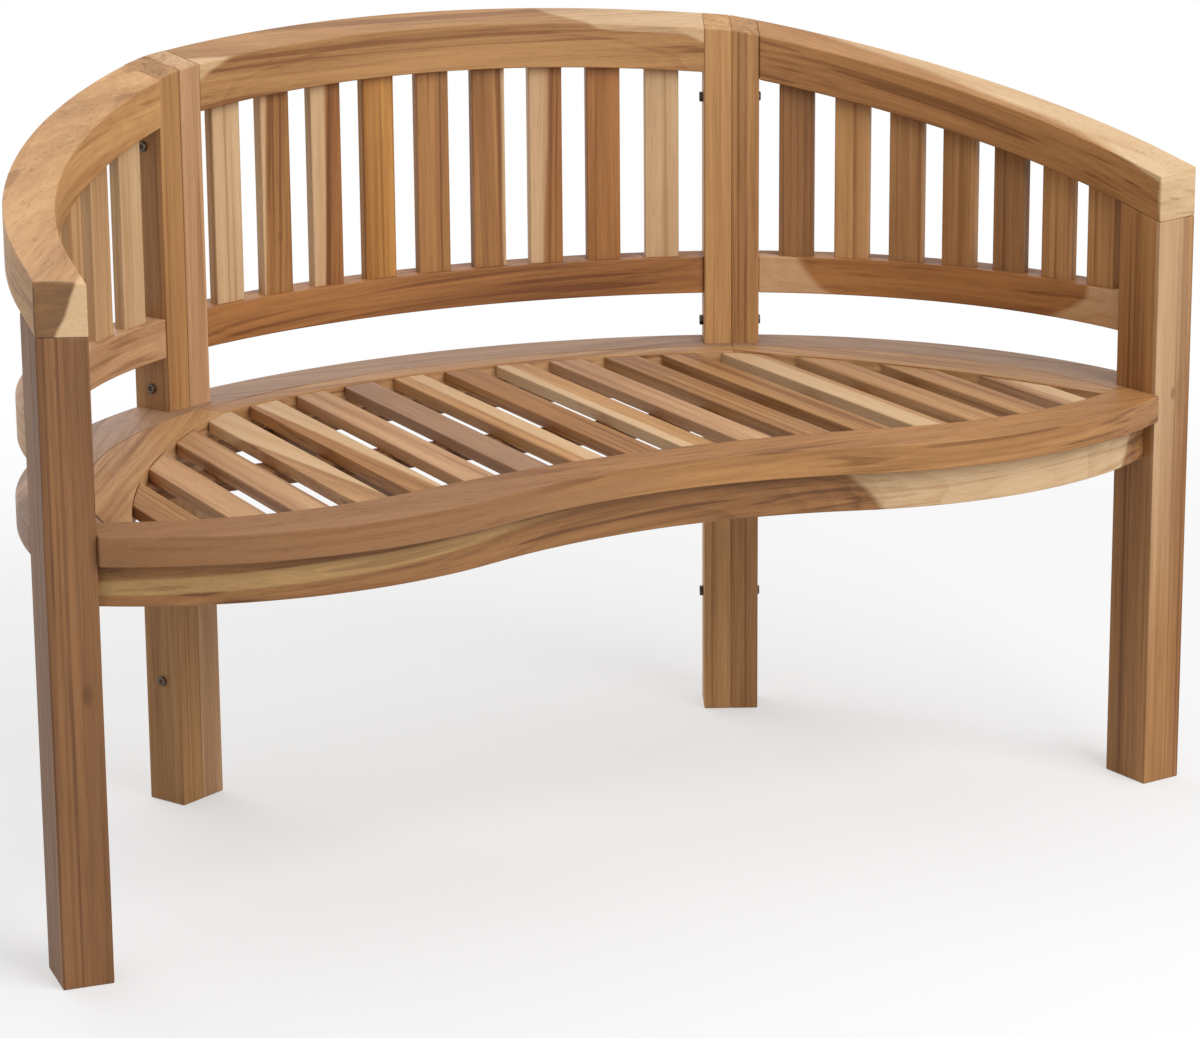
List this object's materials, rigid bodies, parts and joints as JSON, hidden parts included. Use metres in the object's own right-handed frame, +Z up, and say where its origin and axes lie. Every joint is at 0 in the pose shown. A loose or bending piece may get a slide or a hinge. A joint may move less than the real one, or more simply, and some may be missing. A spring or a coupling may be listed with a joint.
{
  "type": "curved garden bench",
  "caption": "Curved hardwood garden bench with a wrap-round slatted back, sloping arms and a wavy-edged slatted seat, on square legs and bolted split rear posts.",
  "frame": {"origin": "on the ground under the middle of the bench's bounding box", "axes": "+X along the bench's width, to the sitter's left; +Y from the front edge to the back; +Z up"},
  "size_m": [1.2002, 0.6082, 0.77],
  "materials": {
    "frame": "oiled satin hardwood, straight grain",
    "upright_slats": "oiled satin hardwood, straight grain",
    "seat_slats": "oiled satin hardwood, straight grain",
    "seat_border": "oiled satin hardwood, straight grain",
    "hidden_frame": "plain sawn hardwood",
    "bolt_steel": "dark bronzed steel",
    "screw_steel": "plain steel"
  },
  "bodies": {
    "root": {"apron_dowels": "hidden_frame", "arm_ledger_left": "hidden_frame", "arm_ledger_right": "hidden_frame", "arm_lower_rail_left": "frame", "arm_lower_rail_right": "frame", "arm_rear_post_left": "frame", "arm_rear_post_right": "frame", "arm_seat_rail_left": "frame", "arm_seat_rail_right": "frame", "arm_slats_left": "upright_slats", "arm_slats_right": "upright_slats", "arm_top_rail_left": "frame", "arm_top_rail_right": "frame", "back_ledger": "hidden_frame", "back_lower_rail": "frame", "back_post_left": "frame", "back_post_right": "frame", "back_seat_rail": "frame", "back_slat_1": "upright_slats", "back_slat_2": "upright_slats", "back_slat_3": "upright_slats", "back_slat_4": "upright_slats", "back_slat_5": "upright_slats", "back_slat_6": "upright_slats", "back_slat_7": "upright_slats", "back_slat_8": "upright_slats", "back_slat_9": "upright_slats", "back_top_rail": "frame", "front_apron": "seat_border", "front_leg_left": "frame", "front_leg_right": "frame", "post_bolts": "bolt_steel", "post_nuts": "bolt_steel", "seat_back_border": "seat_border", "seat_batten": "hidden_frame", "seat_bearer_left": "hidden_frame", "seat_bearer_right": "hidden_frame", "seat_front_border": "seat_border", "seat_screws": "screw_steel", "seat_side_border_left": "seat_border", "seat_side_border_right": "seat_border", "seat_slat_1": "seat_slats", "seat_slat_10": "seat_slats", "seat_slat_11": "seat_slats", "seat_slat_12": "seat_slats", "seat_slat_13": "seat_slats", "seat_slat_14": "seat_slats", "seat_slat_15": "seat_slats", "seat_slat_16": "seat_slats", "seat_slat_17": "seat_slats", "seat_slat_2": "seat_slats", "seat_slat_3": "seat_slats", "seat_slat_4": "seat_slats", "seat_slat_5": "seat_slats", "seat_slat_6": "seat_slats", "seat_slat_7": "seat_slats", "seat_slat_8": "seat_slats", "seat_slat_9": "seat_slats"}
  },
  "joints": []
}
